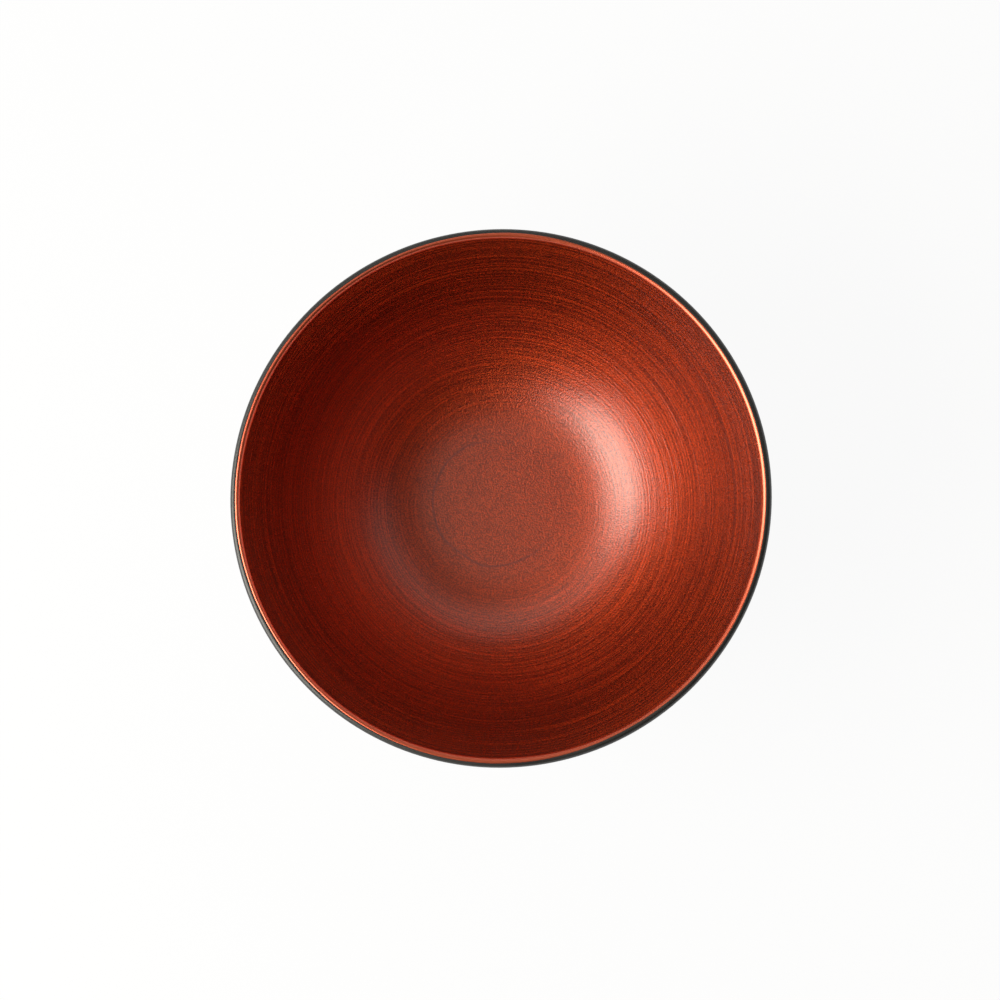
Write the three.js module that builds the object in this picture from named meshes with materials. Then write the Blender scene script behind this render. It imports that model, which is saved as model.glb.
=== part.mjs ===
// A footed ceramic bowl: one clay body turned on a wheel, under three coats of fired glaze.
// Millimetres, +Z up. The origin is the centre of the foot ring, on the surface that the bowl stands on.
// Every solid is turned about +Z from one clay profile, drawn in the half plane of radius and height.
import * as THREE from "three";

// The finished bowl, glaze included
const RIM_DIAMETER = 150;
const HEIGHT = 75;
const LIP_WIDTH = 2.8;
const LOWER_WALL = 5;
const FLOOR_HEIGHT = 8.8;

// The inside: a nearly flat floor that swings up into the wall in one sweep, up to the slope under the lip
const FLAT_FLOOR_DIAMETER = 36;
const FLOOR_SWEEP = 32;
const WALL_SWEEP = 40;
const RIM_SLOPE = 73;

// The turned foot ring and the shallow well inside it
const FOOT_DIAMETER = 72;
const FOOT_WIDTH = 4.6;
const FOOT_TAPER = 0.8;
const FOOT_EDGE = 0.9;
const FOOT_FILLET = 2.2;
const WELL_DEPTH = 3.4;
const WELL_FILLET = 2;

// The glaze: its thickness, the air left under it, and where it stops on the lip and above the ground
const GLAZE_COAT = 0.4;
const GLAZE_GAP = 0.05;
const LIP_LINE_ANGLE = 10;
const WIPED_HEIGHT = 1.7;

// How far the rim left the kiln out of round, and the bearing of its longest diameter
const OUT_OF_ROUND = 0.29;
const LONG_BEARING = 28;

// How finely the round forms are cut into flat faces
const TURN_FACES = 64;
const SWEEP_FACES = 11;
const OUTSIDE_FACES = 8;
const LIP_FACES = 3;
const FILLET_FACES = 3;

// How often the search for a radius halves its range
const HALVINGS = 40;

const radians = THREE.MathUtils.degToRad;
const point = (radius, height) => new THREE.Vector2(radius, height);

// Clay sizes that follow from the finished ones
const coatAndGap = GLAZE_COAT + GLAZE_GAP;
const clayLip = LIP_WIDTH / 2 - coatAndGap;
const clayFloor = FLOOR_HEIGHT - coatAndGap;
const clayWell = WELL_DEPTH + coatAndGap;
const footRadius = FOOT_DIAMETER / 2;
const footTip = footRadius - FOOT_TAPER;
const footInner = footTip - FOOT_WIDTH;

// The direction to the right of travel, which points out of the clay all the way along its profile
function rightOf(direction) {
  return point(direction.y, -direction.x);
}

// The lip is half a circle across the end of the sloping wall
const lipCentre = point(RIM_DIAMETER / 2 - LIP_WIDTH / 2, HEIGHT - LIP_WIDTH / 2);
const upTheWall = point(Math.cos(radians(RIM_SLOPE)), Math.sin(radians(RIM_SLOPE)));
const insideTop = lipCentre.clone().addScaledVector(rightOf(upTheWall), -clayLip);

// The inside sweep, from the edge of the flat floor up to the lip
const floorEdge = point(FLAT_FLOOR_DIAMETER / 2, clayFloor);
const insideSweep = new THREE.CubicBezierCurve(
  floorEdge,
  point(floorEdge.x + FLOOR_SWEEP, floorEdge.y),
  insideTop.clone().addScaledVector(upTheWall, -WALL_SWEEP),
  insideTop,
);

// The outside follows the inside, through a wall that thickens evenly from the lip down to the foot
function outsideSweep(share) {
  const wall = THREE.MathUtils.lerp(LOWER_WALL - 2 * coatAndGap, 2 * clayLip, share);
  const outwards = rightOf(insideSweep.getTangent(share));
  return insideSweep.getPoint(share).addScaledVector(outwards, wall);
}

// The share of the sweep at which the outside reaches a radius
function shareAtRadius(radius) {
  let low = 0;
  let high = 1;
  for (let step = 0; step < HALVINGS; step += 1) {
    const middle = (low + high) / 2;
    if (outsideSweep(middle).x < radius) low = middle;
    else high = middle;
  }
  return high;
}

// An arc of the lip between two angles from its crest, positive towards the outside
function lipArc(from, to) {
  const start = Math.PI / 2 - radians(from);
  const end = Math.PI / 2 - radians(to);
  const arc = new THREE.EllipseCurve(lipCentre.x, lipCentre.y, clayLip, clayLip, start, end);
  return arc.getPoints(LIP_FACES);
}

// The underside, from the axis to the wiped edge on the inner side of the foot ring
function wellProfile() {
  const well = new THREE.Path();
  well.moveTo(0, clayWell);
  well.lineTo(footInner - WELL_FILLET, clayWell);
  well.quadraticCurveTo(footInner, clayWell, footInner, WIPED_HEIGHT);
  return well.getPoints(FILLET_FACES);
}

// The bare clay that the bowl stands on: a flat ring with rounded edges
function bareFootProfile() {
  const foot = new THREE.Path();
  foot.moveTo(footInner, WIPED_HEIGHT);
  foot.lineTo(footInner, FOOT_EDGE);
  foot.quadraticCurveTo(footInner, 0, footInner + FOOT_EDGE, 0);
  foot.lineTo(footTip - FOOT_EDGE, 0);
  foot.quadraticCurveTo(footTip, 0, footTip, FOOT_EDGE);
  foot.lineTo(footTip, WIPED_HEIGHT);
  return foot.getPoints(FILLET_FACES);
}

// The outside, from the wiped edge of the foot up to the glaze line on the lip
function outsideProfile() {
  const corner = outsideSweep(shareAtRadius(footRadius));
  const wallStart = shareAtRadius(footRadius + FOOT_FILLET);
  const filletTop = outsideSweep(wallStart);
  const side = new THREE.Path();
  side.moveTo(footTip, WIPED_HEIGHT);
  side.lineTo(footRadius, corner.y - FOOT_FILLET);
  side.quadraticCurveTo(corner.x, corner.y, filletTop.x, filletTop.y);
  const wall = [];
  for (let face = 1; face < OUTSIDE_FACES; face += 1) {
    wall.push(outsideSweep(THREE.MathUtils.lerp(wallStart, 1, face / OUTSIDE_FACES)));
  }
  return [...side.getPoints(FILLET_FACES), ...wall, ...lipArc(180 - RIM_SLOPE, LIP_LINE_ANGLE)];
}

// The inside, from the glaze line on the lip down to the middle of the floor
function insideProfile() {
  const downTheWall = insideSweep.getPoints(SWEEP_FACES).reverse();
  return [...lipArc(LIP_LINE_ANGLE, -RIM_SLOPE), ...downTheWall.slice(1), point(0, clayFloor)];
}

// The whole clay profile, from the axis under the bowl round to the axis inside it
const well = wellProfile();
const bareFoot = bareFootProfile();
const outside = outsideProfile();
const inside = insideProfile();
const clayProfile = [...well, ...bareFoot.slice(1), ...outside.slice(1), ...inside.slice(1)];
const wellEnd = well.length - 1;
const footEnd = wellEnd + bareFoot.length - 1;
const lipLine = footEnd + outside.length - 1;
const floorCentre = clayProfile.length - 1;

// A point of the clay profile moved straight out of the clay
function raised(index, distance) {
  const here = clayProfile[index];
  const before = clayProfile[index - 1] ?? point(-1, here.y);
  const after = clayProfile[index + 1] ?? point(-1, here.y);
  const outwards = rightOf(after.clone().sub(before).normalize());
  return here.clone().addScaledVector(outwards, distance);
}

// The closed outline of a coat of glaze over one stretch of the clay profile
function coat(first, last) {
  const under = [];
  const over = [];
  for (let index = first; index <= last; index += 1) {
    under.unshift(raised(index, GLAZE_GAP));
    over.push(raised(index, coatAndGap));
  }
  return [...under, ...over, under[0].clone()];
}

// A solid turned about +Z
function turned(name, profile, look) {
  const geometry = new THREE.LatheGeometry(profile, TURN_FACES);
  geometry.rotateX(Math.PI / 2);
  const mesh = new THREE.Mesh(geometry, new THREE.MeshStandardMaterial(look));
  mesh.name = name;
  return mesh;
}

const clay = { color: 0xb9ab98, roughness: 0.85, metalness: 0 };
const copperGlaze = { color: 0x9b3d28, roughness: 0.38, metalness: 0.8 };
const blackGlaze = { color: 0x2b2a29, roughness: 0.55, metalness: 0 };

// The kiln's pull is a small stretch along one diameter, alike for the clay and its coats
const stretch = OUT_OF_ROUND / (RIM_DIAMETER / 2);
const fired = new THREE.Group();
fired.scale.set(1 + stretch, 1 - stretch, 1);
fired.add(turned("clay_body", clayProfile, clay));
fired.add(turned("inner_glaze", coat(lipLine, floorCentre), copperGlaze));
fired.add(turned("outer_glaze", coat(footEnd, lipLine), blackGlaze));
fired.add(turned("foot_well_glaze", coat(0, wellEnd), blackGlaze));

const bowl = new THREE.Group();
bowl.rotation.z = radians(LONG_BEARING);
bowl.add(fired);

export default bowl;
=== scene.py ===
# %% [markdown]
# # A ceramic bowl, copper inside and black outside
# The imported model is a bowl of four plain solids: the fired clay and the three coats of glaze on it. It
# is loaded first and stays as it is, like the master on a potter's bench. Everything below is made in
# metres and in the same place, and each finished piece takes over from one of those solids.

import math

import bpy
from mathutils import Matrix, Vector, noise
from mathutils.geometry import interpolate_bezier


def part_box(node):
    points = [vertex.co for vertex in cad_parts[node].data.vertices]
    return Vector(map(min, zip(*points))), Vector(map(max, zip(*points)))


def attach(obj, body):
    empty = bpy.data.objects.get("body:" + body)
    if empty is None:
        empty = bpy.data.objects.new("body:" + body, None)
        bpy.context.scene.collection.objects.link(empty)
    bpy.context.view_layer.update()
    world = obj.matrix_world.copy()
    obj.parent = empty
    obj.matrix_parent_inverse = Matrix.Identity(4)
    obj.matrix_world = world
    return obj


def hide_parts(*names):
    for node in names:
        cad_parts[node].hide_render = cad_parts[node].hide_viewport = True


MM = 0.001

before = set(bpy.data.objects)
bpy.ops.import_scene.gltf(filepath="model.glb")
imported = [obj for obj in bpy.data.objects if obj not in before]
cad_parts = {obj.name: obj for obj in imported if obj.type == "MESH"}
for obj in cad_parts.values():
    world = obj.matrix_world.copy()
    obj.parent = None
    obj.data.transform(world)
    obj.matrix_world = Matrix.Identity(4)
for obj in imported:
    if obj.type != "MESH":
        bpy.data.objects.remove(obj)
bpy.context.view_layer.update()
print("solids:", ", ".join(sorted(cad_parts)))

# %% [markdown]
# ## The sizes that settle a bowl
# A thrown bowl is one line swung round an axis, so a few sizes settle all of it. Those that show in the
# boxes of the solids are read from there: the rim, the height and the floor. The others are the ones
# that the solids were drawn with. Reading sizes from the frame keeps the finished bowl exactly as big
# as the solids.

# %% Sizes
GLAZE_COAT = 0.4 * MM
GLAZE_GAP = 0.05 * MM
LIP_WIDTH = 2.8 * MM
LOWER_WALL = 5 * MM
FLAT_FLOOR_RADIUS = 18 * MM
FLOOR_SWEEP = 32 * MM
WALL_SWEEP = 40 * MM
RIM_SLOPE = math.radians(73)
FOOT_RADIUS = 36 * MM
FOOT_WIDTH = 4.6 * MM
FOOT_TAPER = 0.8 * MM
FOOT_EDGE = 0.9 * MM
FOOT_FILLET = 2.2 * MM
WELL_DEPTH = 3.4 * MM
WELL_FILLET = 2 * MM
WIPED_HEIGHT = 1.7 * MM
LIP_LINE = math.radians(10)

jacket_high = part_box("outer_glaze")[1]
lining_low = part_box("inner_glaze")[0]
RIM_RADIUS = (jacket_high.x + jacket_high.y) / 2
RIM_HEIGHT = jacket_high.z
CLAY_FLOOR = lining_low.z - GLAZE_GAP
COAT_AND_GAP = GLAZE_COAT + GLAZE_GAP
settled = [round(size / MM, 2) for size in (RIM_RADIUS, RIM_HEIGHT, CLAY_FLOOR)]
print("rim radius, height and clay floor in mm:", settled)

# %% [markdown]
# ## The line of the clay
# The line starts on the axis under the bowl, runs round the foot, up the outside, over the lip and down
# the inside to the axis again. The inside is one easy sweep, so it is a Bezier curve with two handles,
# as you would draw it in the curve editor. The outside keeps a wall's width away from it. Each point is
# a radius and a height.

# %% Helpers for the line
LINE_STEP = 0.26 * MM
CORNER_PULL = 2 / 3


def right_of(direction):
    """The direction to the right of travel, which points out of the clay all along its line."""
    return Vector((direction.y, -direction.x))


def straight(start, end):
    """Evenly spaced points from start to end."""
    steps = max(1, round((end - start).length / LINE_STEP))
    return [start.lerp(end, step / steps) for step in range(steps + 1)]


def rounded(start, corner, end, points=8):
    """Points of a soft corner."""
    first_handle = start.lerp(corner, CORNER_PULL)
    second_handle = end.lerp(corner, CORNER_PULL)
    return interpolate_bezier(start, first_handle, second_handle, end, points)


print("step along straight lines in mm:", round(LINE_STEP / MM, 2))

# %% The inside sweep, and the outside that follows it
SWEEP_POINTS = 360

clay_lip = LIP_WIDTH / 2 - COAT_AND_GAP
lip_centre = Vector((RIM_RADIUS - LIP_WIDTH / 2, RIM_HEIGHT - LIP_WIDTH / 2))
up_the_wall = Vector((math.cos(RIM_SLOPE), math.sin(RIM_SLOPE)))
inside_top = lip_centre - right_of(up_the_wall) * clay_lip
floor_edge = Vector((FLAT_FLOOR_RADIUS, CLAY_FLOOR))
floor_handle = floor_edge + Vector((FLOOR_SWEEP, 0))
wall_handle = inside_top - up_the_wall * WALL_SWEEP
inside_sweep = interpolate_bezier(floor_edge, floor_handle, wall_handle, inside_top, SWEEP_POINTS)

outside_sweep = []
for index, here in enumerate(inside_sweep):
    before = inside_sweep[max(index - 1, 0)]
    after = inside_sweep[min(index + 1, SWEEP_POINTS - 1)]
    share = index / (SWEEP_POINTS - 1)
    wall = (1 - share) * (LOWER_WALL - 2 * COAT_AND_GAP) + share * 2 * clay_lip
    outside_sweep.append(here + right_of((after - before).normalized()) * wall)
print("points along the sweep:", len(inside_sweep))

# %% The lip, the foot and the well
LIP_POINTS = 20
FILLET_POINTS = 12
OUTSIDE_STEP = 3


def lip_arc(first, last):
    """Points over the lip between two angles from its crest, positive towards the outside."""
    angles = [first + (last - first) * step / (LIP_POINTS - 1) for step in range(LIP_POINTS)]
    return [lip_centre + Vector((math.sin(angle), math.cos(angle))) * clay_lip for angle in angles]


foot_tip = FOOT_RADIUS - FOOT_TAPER
foot_inner = foot_tip - FOOT_WIDTH
clay_well = WELL_DEPTH + COAT_AND_GAP
wiped_inner = Vector((foot_inner, WIPED_HEIGHT))
wiped_outer = Vector((foot_tip, WIPED_HEIGHT))

well_flat_end = Vector((foot_inner - WELL_FILLET, clay_well))
well_line = [Vector((0, clay_well)), Vector((foot_inner / 2, clay_well))]
well_line += rounded(well_flat_end, Vector((foot_inner, clay_well)), wiped_inner)

inner_corner = Vector((foot_inner, 0))
outer_corner = Vector((foot_tip, 0))
foot_line = rounded(Vector((foot_inner, FOOT_EDGE)), inner_corner, Vector((foot_inner + FOOT_EDGE, 0)))
foot_line += rounded(Vector((foot_tip - FOOT_EDGE, 0)), outer_corner, Vector((foot_tip, FOOT_EDGE)))

corner = next(point for point in outside_sweep if point.x >= FOOT_RADIUS)
wall_part = [point for point in outside_sweep if point.x >= FOOT_RADIUS + FOOT_FILLET]
foot_top = Vector((FOOT_RADIUS, corner.y - FOOT_FILLET))
outside_line = straight(wiped_outer, foot_top)[:-1]
outside_line += rounded(foot_top, corner, wall_part[0], FILLET_POINTS)
outside_line += wall_part[OUTSIDE_STEP:-OUTSIDE_STEP:OUTSIDE_STEP]
outside_line += lip_arc(math.pi - RIM_SLOPE, LIP_LINE)

inside_line = lip_arc(LIP_LINE, -RIM_SLOPE)[1:-1] + inside_sweep[::-1]
inside_line += straight(floor_edge, Vector((0, CLAY_FLOOR)))[1:]

clay_line = well_line + foot_line + outside_line + inside_line
well_end = len(well_line) - 1
foot_end = len(well_line + foot_line)
lip_end = len(well_line + foot_line + outside_line) - 1
floor_end = len(clay_line) - 1
print("points round the clay:", len(clay_line))

# %% [markdown]
# ## Coats of glaze and the wheel
# Glaze lies on clay as an even skin, so a coat is the clay's line moved out by the thickness of the
# coat, with a second line just clear of the clay to close it. To turn a section into a bowl, a mesh
# circle is a handy start: it is already a closed loop of corners. Each corner goes to its place on the
# section, and spin swings the loop round the axis. Spin leaves the first and the last ring on top of
# each other, so they are merged, and then the faces are turned out.

# %% Coats and the wheel
TURN_FACES = 192
ON_AXIS = LINE_STEP / 100
MERGE_REACH = 0.001 * MM


def raised(index, distance):
    """A point of the clay's line moved straight out of the clay."""
    here = clay_line[index]
    beyond_axis = Vector((-MM, here.y))
    before = clay_line[index - 1] if index > 0 else beyond_axis
    after = clay_line[index + 1] if index < floor_end else beyond_axis
    return here + right_of((after - before).normalized()) * distance


def coat_section(first, last, under_step, fine=0):
    """The closed section of a coat: a fine skin, and a coarse underside that is fine only round the lip."""
    skin = [raised(index, COAT_AND_GAP) for index in range(first, last + 1)]
    under_places = list(range(first, first + fine)) + list(range(first + fine, last, under_step)) + [last]
    under = [raised(index, GLAZE_GAP) for index in reversed(under_places)]
    return skin + under


def clear_selection(kind):
    """Leave nothing selected in the active mesh, ready to pick its VERT, EDGE or FACE by place."""
    bpy.ops.object.mode_set(mode="EDIT")
    bpy.ops.mesh.select_mode(type=kind)
    bpy.ops.mesh.select_all(action="DESELECT")
    bpy.ops.object.mode_set(mode="OBJECT")


def turn(name, section):
    """Swing a section round the axis of the bowl into a closed piece."""
    bpy.ops.object.select_all(action="DESELECT")
    bpy.ops.mesh.primitive_circle_add(vertices=len(section), radius=RIM_RADIUS)
    piece = bpy.context.object
    piece.name = name
    piece.data.name = name
    clear_selection("VERT")
    for vertex, point in zip(piece.data.vertices, section):
        vertex.co = (max(point.x, 0), 0, point.y)
        vertex.select = point.x < ON_AXIS
    bpy.ops.object.mode_set(mode="EDIT")
    bpy.ops.mesh.delete(type="EDGE")
    bpy.ops.mesh.select_all(action="SELECT")
    bpy.ops.mesh.spin(steps=TURN_FACES, angle=math.tau, center=(0, 0, 0), axis=(0, 0, 1))
    bpy.ops.mesh.select_all(action="SELECT")
    bpy.ops.mesh.remove_doubles(threshold=MERGE_REACH)
    bpy.ops.mesh.normals_make_consistent(inside=False)
    bpy.ops.object.mode_set(mode="OBJECT")
    print(name, "has", len(piece.data.polygons), "faces")
    return piece


print("faces in a full turn:", TURN_FACES)

# %% [markdown]
# ## The four pieces off the wheel
# The lining needs a fine skin, because its brush lines are real ridges. Everything else is smooth and
# gets by with fewer rings, and what lies hidden under a coat keeps only every second, eighth or
# twenty-fourth point. A corner that lies on the axis has no ring to make: the edge between two such
# corners is deleted before the spin, so that the middle of the floor closes to a point.

# %% Turn the pieces
LINING_UNDER_STEP = 24
JACKET_UNDER_STEP = 2
CLAY_OUTSIDE_STEP = 2
CLAY_INSIDE_STEP = 8

lining = turn("copper_lining", coat_section(lip_end, floor_end, LINING_UNDER_STEP, LIP_POINTS))
jacket = turn("black_jacket", coat_section(foot_end, lip_end, JACKET_UNDER_STEP))
well_patch = turn("black_well", coat_section(0, well_end, 1))
clay_section = well_line + foot_line + outside_line[::CLAY_OUTSIDE_STEP]
clay_section += inside_line[::CLAY_INSIDE_STEP] + inside_line[-1:]
clay = turn("fired_clay", clay_section)

# %% [markdown]
# ## Brush lines in the lining
# The copper glaze was laid on with a brush while the bowl turned, so long fine ridges run round it in a
# slow spiral, close together on the wall and nearly gone on the floor and under the lip. A noise that
# is stretched round the bowl gives such lines: it changes fast across the brush's path and slowly along
# it. The bearing jumps from half a turn to minus half a turn at one place, so two patterns with their
# jumps on opposite sides are faded into each other. They are real ridges of about a hundredth of a
# millimetre at most, higher on the steep wall than on the floor, because light that skims a glossy wall
# shows even those. All normals are read before the first corner moves, because Blender works them all
# out again after each move.

# %% Brush lines
BRUSH_CREEP = 3 * MM
BRUSH_CLIMB = 0.15
RIDGE_HEIGHT = 0.006 * MM
# Each kind of ridge has its cell across the path, its weight, and its reach along the path.
RIDGES = ((0.5 * MM, 1.0, 0.9), (1.5 * MM, 0.2, 0.7))
FLOOR_RIDGES = 0.12
RIDGE_RADII = (22 * MM, 38 * MM)
RIDGE_DEPTHS = (2 * MM, 10 * MM)
LEAST_UPWARD = 0.35


def clamped(low, high, value):
    """How far a value lies between two others, from 0 to 1."""
    return min(max((value - low) / (high - low), 0), 1)


def brush_line(place, cell, reach):
    """The height of the brush lines at a place, about -1 to 1."""
    radius = math.hypot(place.x, place.y)
    path = radius + BRUSH_CLIMB * place.z
    total = 0
    for side in (1, -1):
        bearing = math.atan2(side * place.y, side * place.x)
        along = Vector((side * place.x, side * place.y)) * (reach / max(radius, MM))
        across = (path + BRUSH_CREEP * bearing / math.tau) / cell
        total += (0.5 + 0.5 * math.cos(bearing)) * noise.noise((along.x, along.y, across))
    return total


mouth = Vector((0, 0, RIM_HEIGHT))
highest = 0
outwards = [vertex.normal.copy() for vertex in lining.data.vertices]
for vertex, normal in zip(lining.data.vertices, outwards):
    if normal.dot(mouth - vertex.co) <= 0:
        continue
    radius = math.hypot(vertex.co.x, vertex.co.y)
    floor_fade = FLOOR_RIDGES + (1 - FLOOR_RIDGES) * clamped(*RIDGE_RADII, radius)
    lip_fade = clamped(*RIDGE_DEPTHS, RIM_HEIGHT - vertex.co.z)
    lines = sum(brush_line(vertex.co, cell, reach) * weight for cell, weight, reach in RIDGES)
    lift = RIDGE_HEIGHT * lines * floor_fade * lip_fade / max(normal.z, LEAST_UPWARD)
    highest = max(highest, lift)
    vertex.co += normal * lift
print("highest brush line in mm:", round(highest / MM, 4))

# %% [markdown]
# ## A glaze line drawn by hand
# The two glazes meet about on the crest of the lip. On a bowl that was glazed by hand that line
# wanders, so its angle from the crest is given at twelve bearings and eased in between, with a small
# tremble on top. The rings of both coats near the line are turned about the middle of the lip by the
# same amount, so the coats stay shut against each other. Both skins also sink towards the line, most of
# all on the left: glaze draws back from an edge and leaves it round, and this round copper edge is what
# shines along the left of the rim.

# %% Let the glaze line wander
LINE_MARKS = (-10, -12, -10, 10, 3, 11, 0, -12, 2, 7, -17, -6)
TREMBLE = math.radians(2.5)
TREMBLE_WAVES = 14
DRIFT_REACH = math.radians(60)
COPPER_EDGE = math.radians(26)
EDGE_DROP = 0.2 * MM
LIP_REACH = LIP_WIDTH * 0.6


def glaze_line_drift(bearing):
    """How far the glaze line is moved over the lip at a bearing, positive towards the outside."""
    mark, share = divmod(bearing % math.tau * len(LINE_MARKS) / math.tau, 1)
    first = LINE_MARKS[int(mark) % len(LINE_MARKS)]
    second = LINE_MARKS[int(mark + 1) % len(LINE_MARKS)]
    eased = share * share * (3 - 2 * share)
    tremble = noise.noise((TREMBLE_WAVES * math.cos(bearing), TREMBLE_WAVES * math.sin(bearing), 0.5))
    return math.radians(first + (second - first) * eased) + TREMBLE * tremble - LIP_LINE


for piece in (lining, jacket):
    for vertex in piece.data.vertices:
        radius = math.hypot(vertex.co.x, vertex.co.y)
        arm = Vector((radius, vertex.co.z)) - lip_centre
        angle = math.atan2(arm.x, arm.y)
        share = 1 - abs(angle - LIP_LINE) / DRIFT_REACH
        if arm.length > LIP_REACH or share <= 0:
            continue
        bearing = math.atan2(vertex.co.y, vertex.co.x)
        reach = arm.length
        if reach > clay_lip + COAT_AND_GAP / 2:
            edge_share = share if piece == jacket else max(1 - abs(angle - LIP_LINE) / COPPER_EDGE, 0)
            reach -= EDGE_DROP * (0.5 - 0.5 * math.cos(bearing)) * edge_share ** 2
        angle += share * glaze_line_drift(bearing)
        moved = lip_centre + Vector((math.sin(angle), math.cos(angle))) * reach
        vertex.co = (vertex.co.x * moved.x / radius, vertex.co.y * moved.x / radius, moved.y)
print("glaze line from the crest, in degrees:", min(LINE_MARKS), "to", max(LINE_MARKS))

# %% [markdown]
# ## The wiped edge above the foot
# Before the firing the foot is wiped clean so that the bowl can't stick to the kiln shelf. The glaze
# above it draws back in the heat and ends in a small round bead. A bevel on the outer edge of the coat
# makes that bead. Its edges are picked by their place: the lowest ring of the skin.

# %% Round off the wiped edges
BEAD = 0.22 * MM
BEAD_SEGMENTS = 3
LEVEL_WITHIN = LINE_STEP / 10
RING_WITHIN = LINE_STEP / 2
LOW_EDGE = WIPED_HEIGHT * 1.05


def round_wiped_edge(piece, radius):
    """Bevel the lowest ring of a coat where it faces away from the clay."""
    bpy.ops.object.select_all(action="DESELECT")
    bpy.context.view_layer.objects.active = piece
    piece.select_set(True)
    clear_selection("EDGE")
    for edge in piece.data.edges:
        ends = [piece.data.vertices[end].co for end in edge.vertices]
        level = all(abs(end.z - ends[0].z) < LEVEL_WITHIN and end.z < LOW_EDGE for end in ends)
        edge.select = level and all(abs(math.hypot(end.x, end.y) - radius) < RING_WITHIN for end in ends)
    picked = sum(edge.select for edge in piece.data.edges)
    bpy.ops.object.mode_set(mode="EDIT")
    bpy.ops.mesh.bevel(offset=BEAD, segments=BEAD_SEGMENTS, affect="EDGES")
    bpy.ops.object.mode_set(mode="OBJECT")
    print(piece.name, "has a bead along", picked, "edges")


round_wiped_edge(jacket, raised(foot_end, COAT_AND_GAP).x)
round_wiped_edge(well_patch, raised(well_end, COAT_AND_GAP).x)

# %% [markdown]
# ## What the kiln did
# No fired bowl is quite round. This one came out 0.3 mm longer on the radius along one diameter, as the
# solids have it. All four pieces get the same small stretch, and then ride on the bowl's one body in
# place of their solids. Smooth shading by angle keeps the ends of the coats crisp and everything else
# round.

# %% Stretch, shade and hand over
OUT_OF_ROUND = 0.29 * MM
LONG_BEARING = math.radians(28)
SMOOTH_BELOW = math.radians(40)

stretch = OUT_OF_ROUND / RIM_RADIUS
to_long = Matrix.Rotation(LONG_BEARING, 4, "Z")
kiln_pull = to_long @ Matrix.Diagonal((1 + stretch, 1 - stretch, 1, 1)) @ to_long.inverted()
stands_for = {
    lining: ("inner_glaze", "copper_glaze"),
    jacket: ("outer_glaze", "black_glaze"),
    well_patch: ("foot_well_glaze", "black_glaze"),
    clay: ("clay_body", "clay"),
}
for piece, (node, slot) in stands_for.items():
    piece.data.transform(kiln_pull)
    bpy.ops.object.select_all(action="DESELECT")
    bpy.context.view_layer.objects.active = piece
    piece.select_set(True)
    bpy.ops.object.shade_smooth_by_angle(angle=SMOOTH_BELOW)
    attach(piece, "root")
    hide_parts(node)
print("pieces:", ", ".join(piece.name for piece in stands_for))

# %% [markdown]
# ## Small tools for the finishes
# A finish is a little machine of nodes that ends in a Principled shader. These helpers add one node
# each and pass on its output, so that a finish reads like a sum. Patterns use Object coordinates, which
# are metres on the bowl itself.

# %% Node helpers
def new_finish(name, *pieces):
    """A material on some pieces, with its node tree and its Principled shader."""
    material = bpy.data.materials.new(name)
    material.use_nodes = True
    for piece in pieces:
        piece.data.materials.clear()
        piece.data.materials.append(material)
    return material.node_tree, material.node_tree.nodes["Principled BSDF"]


def plug(tree, socket, value):
    """Link what another node gives, or type in a plain value."""
    if isinstance(value, bpy.types.NodeSocket):
        tree.links.new(value, socket)
    else:
        socket.default_value = value


def calc(tree, operation, *values):
    """A Math node."""
    node = tree.nodes.new("ShaderNodeMath")
    node.operation = operation
    for socket, value in zip(node.inputs, values):
        plug(tree, socket, value)
    return node.outputs[0]


def remap(tree, value, low, high, new_low=0.0, new_high=1.0):
    """A Map Range node that eases in and out."""
    node = tree.nodes.new("ShaderNodeMapRange")
    node.interpolation_type = "SMOOTHSTEP"
    names = ("Value", "From Min", "From Max", "To Min", "To Max")
    for name, number in zip(names, (value, low, high, new_low, new_high)):
        plug(tree, node.inputs[name], number)
    return node.outputs["Result"]


def vector_of(tree, x, y, z):
    """A Combine XYZ node."""
    node = tree.nodes.new("ShaderNodeCombineXYZ")
    for socket, value in zip(node.inputs, (x, y, z)):
        plug(tree, socket, value)
    return node.outputs[0]


def noise_of(tree, vector, scale, detail=2.0, roughness=0.5):
    """A Noise Texture node."""
    node = tree.nodes.new("ShaderNodeTexNoise")
    for name, value in (("Vector", vector), ("Scale", scale), ("Detail", detail), ("Roughness", roughness)):
        plug(tree, node.inputs[name], value)
    return node.outputs["Fac"]


def mix_numbers(tree, share, first, second):
    """A Mix node for plain numbers. Its number sockets are the third and the fourth."""
    node = tree.nodes.new("ShaderNodeMix")
    for number, value in ((0, share), (2, first), (3, second)):
        plug(tree, node.inputs[number], value)
    return node.outputs[0]


def mix_tones(tree, share, first, second):
    """A Mix Color node. Its colour sockets are the seventh and the eighth."""
    node = tree.nodes.new("ShaderNodeMix")
    node.data_type = "RGBA"
    for number, value in ((0, share), (6, first), (7, second)):
        plug(tree, node.inputs[number], value)
    return node.outputs[2]


def bump(tree, height, depth, below=None):
    """A Bump node of a depth in metres, on top of another one if there is one below."""
    node = tree.nodes.new("ShaderNodeBump")
    node.inputs["Distance"].default_value = depth
    plug(tree, node.inputs["Height"], height)
    if below is not None:
        plug(tree, node.inputs["Normal"], below)
    return node.outputs["Normal"]


# %% [markdown]
# ## Lines that go round
# The finer brush marks are too thin for the mesh, so the finishes draw them. One kind follows the
# recipe of the ridges: a noise that runs fast up the wall and slowly round it, twice, with the jumps of
# the bearing on opposite sides. The other kind is a wave that winds up the wall like a thread. Where
# the bearing jumps, the path has crept on by a whole number of waves, so the thread closes by itself.

# %% Nodes for what goes round the axis
SIDE_FADE = 0.6


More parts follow.
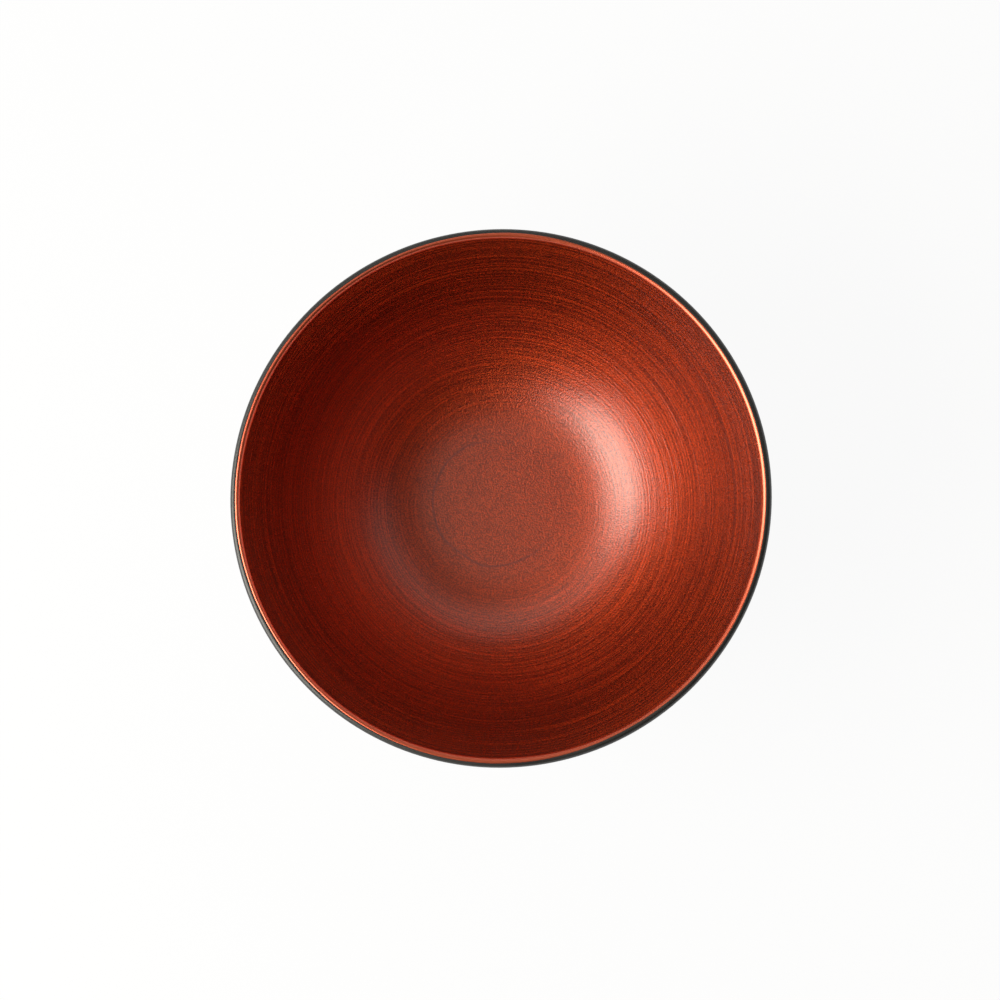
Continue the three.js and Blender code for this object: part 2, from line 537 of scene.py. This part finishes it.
def arm_length(tree, x, y):
    """The length of a level arm from its two parts."""
    square = calc(tree, "ADD", calc(tree, "MULTIPLY", x, x), calc(tree, "MULTIPLY", y, y))
    return calc(tree, "SQRT", square)


def turned_place(tree):
    """A spot's coordinates, its radius, and its path up the wall, as a dictionary of sockets."""
    place = tree.nodes.new("ShaderNodeTexCoord").outputs["Object"]
    split = tree.nodes.new("ShaderNodeSeparateXYZ")
    plug(tree, split.inputs[0], place)
    x, y, z = split.outputs
    radius = arm_length(tree, x, y)
    path = calc(tree, "ADD", radius, calc(tree, "MULTIPLY", z, BRUSH_CLIMB))
    return {"place": place, "x": x, "y": y, "z": z, "radius": radius, "path": path}


def crept_path(tree, spot, x, y):
    """The path up the wall, which creeps on a little in each turn round the axis."""
    bearing = calc(tree, "ARCTAN2", y, x)
    return calc(tree, "ADD", spot["path"], calc(tree, "MULTIPLY", bearing, BRUSH_CREEP / math.tau))


def lines_round(tree, spot, cell, reach, detail=1.0):
    """Lines round the axis with a given cell across them, 0 to 1."""
    arm = calc(tree, "MAXIMUM", spot["radius"], MM)
    layers = []
    for side in (1.0, -1.0):
        x = calc(tree, "MULTIPLY", spot["x"], side)
        y = calc(tree, "MULTIPLY", spot["y"], side)
        across = calc(tree, "DIVIDE", crept_path(tree, spot, x, y), cell)
        along_x = calc(tree, "MULTIPLY", calc(tree, "DIVIDE", x, arm), reach)
        along_y = calc(tree, "MULTIPLY", calc(tree, "DIVIDE", y, arm), reach)
        layers.append(noise_of(tree, vector_of(tree, along_x, along_y, across), 1.0, detail))
    share = remap(tree, calc(tree, "DIVIDE", spot["x"], arm), -SIDE_FADE, SIDE_FADE)
    return mix_numbers(tree, share, layers[1], layers[0])


def wound_lines(tree, spot, pitch, wander):
    """Evenly spaced lines that wind round the axis in one spiral and wander a little, -1 to 1."""
    path = crept_path(tree, spot, spot["x"], spot["y"])
    turns = calc(tree, "ADD", calc(tree, "DIVIDE", path, pitch), wander)
    return calc(tree, "SINE", calc(tree, "MULTIPLY", turns, math.tau))


print("creep in a full turn in mm:", round(BRUSH_CREEP / MM, 2))

# %% [markdown]
# ## Copper glaze
# The lining looks like brushed copper: a deep red metal under a clear satin gloss, so the light breaks up
# twice, once in the metal, which colours it, and once in the gloss, which doesn't. A sandy grain covers all
# of it. On the lip, where the glaze runs over the edge, it is smooth, and its colour is painted bright
# there: a painted highlight of the light that the lip catches.

# %% Copper grain
# A noise has its scale per metre, its detail and its roughness.
GRAIN_NOISE = (2300.0, 1.0, 0.6)
GRAIN_BETWEEN = (0.36, 0.64)
LIP_BAND = (RIM_HEIGHT - 1.4 * MM, RIM_HEIGHT - 0.5 * MM)

tree, shader = new_finish("copper_glaze", lining)
spot = turned_place(tree)
grain = noise_of(tree, spot["place"], *GRAIN_NOISE)
on_lip = remap(tree, spot["z"], *LIP_BAND)
off_lip = calc(tree, "SUBTRACT", 1.0, on_lip)
sand = calc(tree, "MULTIPLY", remap(tree, grain, *GRAIN_BETWEEN), off_lip)
print("cell of the grain in mm:", round(1 / GRAIN_NOISE[0] / MM, 2))

# %% [markdown]
# ### Lines in the copper
# Thin raised lines run round the wall: evenly wound ones that come and go, hairlines between them, and
# a few lone ones that stand out. Noise is soft, so hairlines and lone lines are cut out of it: only its
# peaks count. On the floor most of the lines are worn away.

# %% Copper lines
LINES_IN_A_TURN = 3
LINE_PITCH = BRUSH_CREEP / LINES_IN_A_TURN
WANDER = 1.8
# Each noise has its cell across the lines and its reach along them.
WANDER_NOISE = (1.5 * MM, 0.8)
STRENGTH_NOISE = (0.9 * MM, 0.9)
HAIR_NOISE = (0.33 * MM, 0.8)
LONE_NOISE = (0.8 * MM, 0.7)
# Peaks rise between two values of their noise, up to a strength.
WOUND_PEAKS = (-0.2, 1.0)
STRENGTH_PEAKS = (0.36, 0.62)
WOUND_STRENGTHS = (0.2, 0.85)
HAIR_PEAKS = (0.5, 0.64)
HAIR_STRENGTH = 0.75
LONE_PEAKS = (0.61, 0.69)
FLOOR_TO_WALL = (20 * MM, 36 * MM)
FLOOR_LINES = 0.25

wander = calc(tree, "MULTIPLY", lines_round(tree, spot, *WANDER_NOISE), WANDER)
wound = remap(tree, wound_lines(tree, spot, LINE_PITCH, wander), *WOUND_PEAKS)
strength = remap(tree, lines_round(tree, spot, *STRENGTH_NOISE), *STRENGTH_PEAKS, *WOUND_STRENGTHS)
hairlines = remap(tree, lines_round(tree, spot, *HAIR_NOISE), *HAIR_PEAKS, 0.0, HAIR_STRENGTH)
lone_lines = remap(tree, lines_round(tree, spot, *LONE_NOISE), *LONE_PEAKS)
fine_lines = calc(tree, "MAXIMUM", calc(tree, "MULTIPLY", wound, strength), hairlines)
wall_share = remap(tree, spot["radius"], *FLOOR_TO_WALL, FLOOR_LINES, 1.0)
wall_share = calc(tree, "MULTIPLY", wall_share, off_lip)
lines = calc(tree, "MULTIPLY", calc(tree, "MAXIMUM", fine_lines, lone_lines), wall_share)
print("pitch of the wound lines in mm:", round(LINE_PITCH / MM, 2))

# %% [markdown]
# ### Tones of the copper
# Two tones are mixed, a deep one in the hollows and a bright one on the lines and the grains, where the
# metal lies bare under the gloss. Towards the rim the copper is made darker. The lip is painted in the
# bright tone: a painted highlight of the light that falls on the lip.

# %% Copper tones
COPPER_DEEP = (0.15, 0.0135, 0.0012, 1)
COPPER_BRIGHT = (0.92, 0.112, 0.015, 1)
LINE_TONE = 0.44
GRAIN_TONE = 0.44
FLOOR_TONE = 0.22
WALL_TONE = 0.18
UPPER_WALL = (46 * MM, 67 * MM)
RIM_DARKENING = 0.3

line_share = calc(tree, "MULTIPLY", lines, LINE_TONE)
grain_share = calc(tree, "MULTIPLY", sand, GRAIN_TONE)
tone = calc(tree, "ADD", line_share, grain_share)
tone = calc(tree, "ADD", tone, remap(tree, spot["radius"], *FLOOR_TO_WALL, FLOOR_TONE, WALL_TONE))
# Darker towards the rim.
tone = calc(tree, "SUBTRACT", tone, remap(tree, spot["radius"], *UPPER_WALL, 0.0, RIM_DARKENING))
# Painted highlight: the lip's colour is pushed up to the bright tone, standing in for the light on the lip.
tone = calc(tree, "ADD", tone, on_lip)
copper = mix_tones(tree, tone, COPPER_DEEP, COPPER_BRIGHT)
print("copper tones:", COPPER_DEEP[:3], "to", COPPER_BRIGHT[:3])

# %% [markdown]
# ### A ring on the floor
# A thin, darker, slightly purple ring lies on the floor a little off the middle, where the brush was
# set down and the glaze pooled against its edge. It is clear at the left and the front and fades at the
# right and the back.

# %% Ring on the floor
RING_MIDDLE = (-1.3 * MM, 1.1 * MM)
RING_RADIUS = 18.6 * MM
RING_WIDTH = 0.6 * MM
RING_WOBBLE = 3.2 * MM
RING_NOISE = (60.0, 1.0)
RING_TONE = (0.2, 0.032, 0.026, 1)
RING_STRENGTHS = (0.1, 0.65)
CLEAR_SIDE = (-0.87, -0.5)
CLEAR_BETWEEN = (-12 * MM, 4 * MM)

ring_x = calc(tree, "SUBTRACT", spot["x"], RING_MIDDLE[0])
ring_y = calc(tree, "SUBTRACT", spot["y"], RING_MIDDLE[1])
wobble = calc(tree, "MULTIPLY", noise_of(tree, spot["place"], *RING_NOISE), RING_WOBBLE)
ring_reach = calc(tree, "ADD", arm_length(tree, ring_x, ring_y), wobble)
off_ring = calc(tree, "ABSOLUTE", calc(tree, "SUBTRACT", ring_reach, RING_RADIUS + RING_WOBBLE / 2))
ring = remap(tree, off_ring, 0.0, RING_WIDTH, 1.0, 0.0)
to_left = calc(tree, "MULTIPLY", ring_x, CLEAR_SIDE[0])
to_front = calc(tree, "MULTIPLY", ring_y, CLEAR_SIDE[1])
clear_share = remap(tree, calc(tree, "ADD", to_left, to_front), *CLEAR_BETWEEN, *RING_STRENGTHS)
copper = mix_tones(tree, calc(tree, "MULTIPLY", ring, clear_share), copper, RING_TONE)
print("ring radius in mm:", round(RING_RADIUS / MM, 1))

# %% [markdown]
# ### Metal and gloss together
# Lines and grains are rougher than the hollows. Both stand up from the metal, and less from the gloss
# that has levelled out over them. The lines lie as far apart in a picture from above on the wall as on
# the floor, so on the steep wall they are wider and also higher. Towards the rim the gloss gets thin.

# %% Put the copper together
METAL_ROUGHNESS = 0.4
LINE_ROUGHNESS = 0.15
GRAIN_ROUGHNESS = 0.11
GLOSS_FADE = (50 * MM, 66 * MM)
RIM_GLOSS = 0.45
STEEP_WALL = (36 * MM, 56 * MM)
STEEP_LINES = 3.0
METAL_GRAIN = 0.3 * MM
METAL_LINES = 0.02 * MM
GLOSS_GRAIN = 0.05 * MM
GLOSS_LINES = 0.014 * MM

plug(tree, shader.inputs["Base Color"], copper)
shader.inputs["Metallic"].default_value = 1.0
line_part = calc(tree, "MULTIPLY", lines, LINE_ROUGHNESS)
grain_part = calc(tree, "MULTIPLY", sand, GRAIN_ROUGHNESS)
uneven = calc(tree, "ADD", line_part, grain_part)
plug(tree, shader.inputs["Roughness"], calc(tree, "ADD", uneven, METAL_ROUGHNESS))
gloss = remap(tree, spot["radius"], *GLOSS_FADE, 1.0, RIM_GLOSS)
plug(tree, shader.inputs["Coat Weight"], calc(tree, "MAXIMUM", gloss, on_lip))
shader.inputs["Coat Roughness"].default_value = 0.33
shader.inputs["Coat IOR"].default_value = 1.86
line_rise = remap(tree, spot["radius"], *STEEP_WALL, 1.0, STEEP_LINES)
raised_lines = calc(tree, "MULTIPLY", lines, line_rise)
relief = calc(tree, "MULTIPLY", calc(tree, "SUBTRACT", grain, 0.5), off_lip)
metal_normal = bump(tree, relief, METAL_GRAIN)
plug(tree, shader.inputs["Normal"], bump(tree, raised_lines, METAL_LINES, metal_normal))
gloss_normal = bump(tree, relief, GLOSS_GRAIN)
plug(tree, shader.inputs["Coat Normal"], bump(tree, raised_lines, GLOSS_LINES, gloss_normal))
print("copper nodes:", len(tree.nodes))

# %% [markdown]
# ## Black glaze
# The outside is satin black. It isn't perfectly even: broad soft lines from the wheel run round it,
# tiny pits from gas bubbles dot it, and it is a little glossier in some places than in others.

# %% Black glaze
BLACK_DEEP = (0.012, 0.012, 0.0116, 1)
BLACK_PALE = (0.023, 0.022, 0.021, 1)
PIT_NOISE = (1800.0, 2.0, 0.6)
CLOUD_NOISE = (90.0, 3.0, 0.55)
CLOUD_BETWEEN = (0.25, 0.75)
SATIN_ROUGHNESS = (0.36, 0.47)
# The wheel's lines have their cell, their reach and their detail.
WHEEL_NOISE = (1.2 * MM, 1.0, 2.0)
PIT_DEPTH = 0.03 * MM
WHEEL_DEPTH = 0.05 * MM

tree, shader = new_finish("black_glaze", jacket, well_patch)
spot = turned_place(tree)
pits = noise_of(tree, spot["place"], *PIT_NOISE)
clouds = noise_of(tree, spot["place"], *CLOUD_NOISE)
wheel_lines = lines_round(tree, spot, *WHEEL_NOISE)
plug(tree, shader.inputs["Base Color"], mix_tones(tree, clouds, BLACK_DEEP, BLACK_PALE))
plug(tree, shader.inputs["Roughness"], remap(tree, clouds, *CLOUD_BETWEEN, *SATIN_ROUGHNESS))
shader.inputs["IOR"].default_value = 1.65
pit_normal = bump(tree, pits, PIT_DEPTH)
plug(tree, shader.inputs["Normal"], bump(tree, wheel_lines, WHEEL_DEPTH, pit_normal))
print("black nodes:", len(tree.nodes))

# %% [markdown]
# ## Bare clay
# Clay shows only on the ring that the bowl stands on. It is a warm grey-brown, dull and gritty, with
# darker and lighter patches and dark grains of sand in it.

# %% Bare clay
CLAY_DARK = (0.42, 0.35, 0.27, 1)
CLAY_LIGHT = (0.54, 0.47, 0.38, 1)
CLAY_SPECK = (0.2, 0.15, 0.11, 1)
SAND_NOISE = (1500.0, 3.0, 0.7)
PATCH_NOISE = (120.0, 2.0, 0.5)
SPECK_PEAKS = (0.6, 0.72)
SAND_BETWEEN = (0.2, 0.8)
DULL_ROUGHNESS = (0.78, 0.92)
SAND_DEPTH = 0.08 * MM

tree, shader = new_finish("bare_clay", clay)
spot = turned_place(tree)
sand = noise_of(tree, spot["place"], *SAND_NOISE)
patches = noise_of(tree, spot["place"], *PATCH_NOISE)
body_tone = mix_tones(tree, patches, CLAY_DARK, CLAY_LIGHT)
speckled = mix_tones(tree, remap(tree, sand, *SPECK_PEAKS), body_tone, CLAY_SPECK)
plug(tree, shader.inputs["Base Color"], speckled)
plug(tree, shader.inputs["Roughness"], remap(tree, sand, *SAND_BETWEEN, *DULL_ROUGHNESS))
plug(tree, shader.inputs["Normal"], bump(tree, sand, SAND_DEPTH))
print("clay nodes:", len(tree.nodes))

# %% [markdown]
# ## Floor
# The bowl stands on a large pale floor whose edge curves up into a low wall, as in a photographer's
# studio, so that every low view still ends in the same pale tone. The floor glows for the camera and in
# reflections, which makes it read as white, and keeps a part of its own shading, and with it the soft
# shadow of the bowl.

# %% Floor
FLOOR_RADIUS = 3.0
FLOOR_SIDES = 128
FLOOR_WALL = 0.9
FLOOR_CURVE = 0.6
FLOOR_CURVE_STEPS = 12
FACING_UP = 0.9

bpy.ops.object.select_all(action="DESELECT")
bpy.ops.mesh.primitive_cylinder_add(
    vertices=FLOOR_SIDES, radius=FLOOR_RADIUS, depth=FLOOR_WALL, location=(0, 0, FLOOR_WALL / 2)
)
floor = bpy.context.object
floor.name = "studio_floor"
bpy.ops.object.transform_apply(location=True, rotation=True, scale=True)
clear_selection("FACE")
for face in floor.data.polygons:
    face.select = face.normal.z > FACING_UP
bpy.ops.object.mode_set(mode="EDIT")
bpy.ops.mesh.delete(type="FACE")
bpy.ops.object.mode_set(mode="OBJECT")
clear_selection("EDGE")
for edge in floor.data.edges:
    edge.select = all(floor.data.vertices[end].co.z < MM for end in edge.vertices)
bpy.ops.object.mode_set(mode="EDIT")
bpy.ops.mesh.bevel(offset=FLOOR_CURVE, segments=FLOOR_CURVE_STEPS, affect="EDGES")
bpy.ops.mesh.select_all(action="SELECT")
bpy.ops.mesh.flip_normals()
bpy.ops.object.mode_set(mode="OBJECT")
bpy.ops.object.shade_smooth_by_angle(angle=SMOOTH_BELOW)
print("floor faces:", len(floor.data.polygons))

# %% Floor finish
FLOOR_GLOW = 0.94
PALE_GREY = (0.9, 0.9, 0.9, 1)

tree, shader = new_finish("pale_floor", floor)
shader.inputs["Base Color"].default_value = PALE_GREY
shader.inputs["Roughness"].default_value = 0.9
glow = tree.nodes.new("ShaderNodeEmission")
light_path = tree.nodes.new("ShaderNodeLightPath")
seen = calc(tree, "MAXIMUM", light_path.outputs["Is Camera Ray"], light_path.outputs["Is Glossy Ray"])
seen = calc(tree, "MAXIMUM", seen, light_path.outputs["Is Transmission Ray"])
both = tree.nodes.new("ShaderNodeMixShader")
plug(tree, both.inputs[0], calc(tree, "MULTIPLY", seen, FLOOR_GLOW))
plug(tree, both.inputs[1], shader.outputs[0])
plug(tree, both.inputs[2], glow.outputs[0])
plug(tree, tree.nodes["Material Output"].inputs["Surface"], both.outputs[0])
print("share of the floor's glow:", FLOOR_GLOW)

# %% [markdown]
# ## Light
# One large soft lamp at the left gives the bright crescent on the right of the floor. Two weaker ones
# stand behind the bowl, at the left and at the right, and one hangs above it. They lift the shadows,
# and the dim room does the rest. All four have the same slightly warm white. A lamp's power spreads
# over its area, so a lamp is described here by how bright it looks, and the power follows.

# %% Lamps and room
AIM = Vector((0, 0, 0.03))
LAMP_WHITE = (1.0, 0.965, 0.86)
ROOM_BRIGHTNESS = 0.012
# Name, bearing and elevation in degrees, distance, width and height in metres, and brightness.
LAMPS = (
    ("key_lamp", 198, 37.5, 0.9, 0.764, 0.655, 7.5),
    ("back_lamp", 120, 50, 1.0, 1.1, 0.353, 0.95),
    ("side_lamp", 40, 46, 1.0, 1.1, 0.353, 0.6),
    ("top_lamp", 0, 90, 1.3, 0.55, 0.55, 0.56),
)


def soft_lamp(name, bearing, elevation, distance, width, height, brightness):
    """A rectangle of light that faces the bowl. Bearings go from +X towards +Y."""
    level = math.radians(elevation)
    turn_by = math.radians(bearing)
    flat = Vector((math.cos(turn_by), math.sin(turn_by), 0)) * math.cos(level)
    towards_lamp = flat + Vector((0, 0, math.sin(level)))
    facing = (-towards_lamp).to_track_quat("-Z", "Y").to_euler()
    bpy.ops.object.light_add(type="AREA", location=AIM + towards_lamp * distance, rotation=facing)
    lamp = bpy.context.object
    lamp.name = name
    lamp.data.shape = "RECTANGLE"
    lamp.data.size = width
    lamp.data.size_y = height
    lamp.data.energy = brightness * math.pi * width * height
    lamp.data.color = LAMP_WHITE
    print(name, "power in watts:", round(lamp.data.energy, 2))


for lamp_values in LAMPS:
    soft_lamp(*lamp_values)

world = bpy.data.worlds.new("dim_room")
world.use_nodes = True
room = world.node_tree.nodes["Background"]
room.inputs["Color"].default_value = (1, 1, 1, 1)
room.inputs["Strength"].default_value = ROOM_BRIGHTNESS
bpy.context.scene.world = world

# %% [markdown]
# ## Camera
# The photograph looks almost straight down into the bowl, from a little in front of it and with a long
# lens: the floor sits 9 pixels lower in the picture than the rim. The distance is a usual one for such
# a picture, and the lens follows from the width of the rim in it.

# %% Camera
CAMERA_DISTANCE = 1.2
LEAN_FORWARD = math.radians(2.1)
LEAN_RIGHT = math.radians(0.3)
AIM_BESIDE_AXIS = (-0.28 * MM, -0.65 * MM)
RIM_PIXELS = 270.5
PICTURE_PIXELS = 1000
SENSOR = 36

aim = Vector((*AIM_BESIDE_AXIS, RIM_HEIGHT))
away = Vector((math.sin(LEAN_RIGHT), -math.sin(LEAN_FORWARD), math.cos(LEAN_FORWARD)))
standpoint = aim + away * CAMERA_DISTANCE
bpy.ops.object.camera_add(location=standpoint, rotation=(LEAN_FORWARD, LEAN_RIGHT, 0))
camera = bpy.context.object
camera.name = "photo_camera"
camera.data.sensor_width = SENSOR
camera.data.lens = RIM_PIXELS * CAMERA_DISTANCE / RIM_RADIUS * SENSOR / PICTURE_PIXELS
bpy.context.scene.camera = camera
bpy.context.scene.view_settings.view_transform = "Standard"
print("lens in mm:", round(camera.data.lens, 1))
